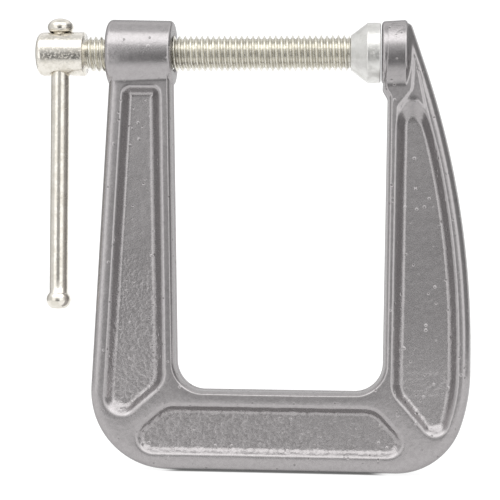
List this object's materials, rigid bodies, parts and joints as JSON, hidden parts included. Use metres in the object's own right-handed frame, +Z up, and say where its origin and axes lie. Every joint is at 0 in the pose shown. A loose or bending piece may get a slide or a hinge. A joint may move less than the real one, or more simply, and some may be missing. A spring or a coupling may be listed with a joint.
{
  "type": "c clamp",
  "caption": "Deep-throat cast C clamp: screw spindle with a sliding cross bar at one end and a swivel pad that closes on the fixed anvil.",
  "frame": {"origin": "middle of the flat foot on the parting plane, below the middle of the jaw gap", "axes": "+X along the screw from the boss to the anvil, +Y through the casting's thickness to the back, +Z up from the foot to the screw"},
  "size_m": [0.1226, 0.019, 0.1268],
  "materials": {
    "casting": "silver-grey semi-gloss coat over a sand casting",
    "plated_screw": "bright warm plating on a rolled screw",
    "plated_bar": "bright warm plating",
    "pad": "turned and pale plated"
  },
  "bodies": {
    "frame": {"frame": "casting"},
    "pad": {"swivel_pad": "pad"},
    "screw": {"spindle": "plated_screw"},
    "handle": {"handle_bar": "plated_bar"}
  },
  "joints": [
    {"name": "pad_travel", "type": "slide", "parent": "frame", "child": "pad", "axis": [-1, 0, 0], "range_m": [0, 0.04921]},
    {"name": "screw_turn", "type": "hinge", "parent": "pad", "child": "screw", "pos_m": [0, 0, 0.11675], "axis": [-1, 0, 0], "range_deg": [0, 11160]},
    {"name": "handle_slide", "type": "slide", "parent": "screw", "child": "handle", "axis": [0, 0, 1], "range_m": [0, 0.0616]}
  ],
  "couplings": [
    {"joint": "screw_turn", "follows": "pad_travel", "rad_per_m": 3957.9}
  ]
}
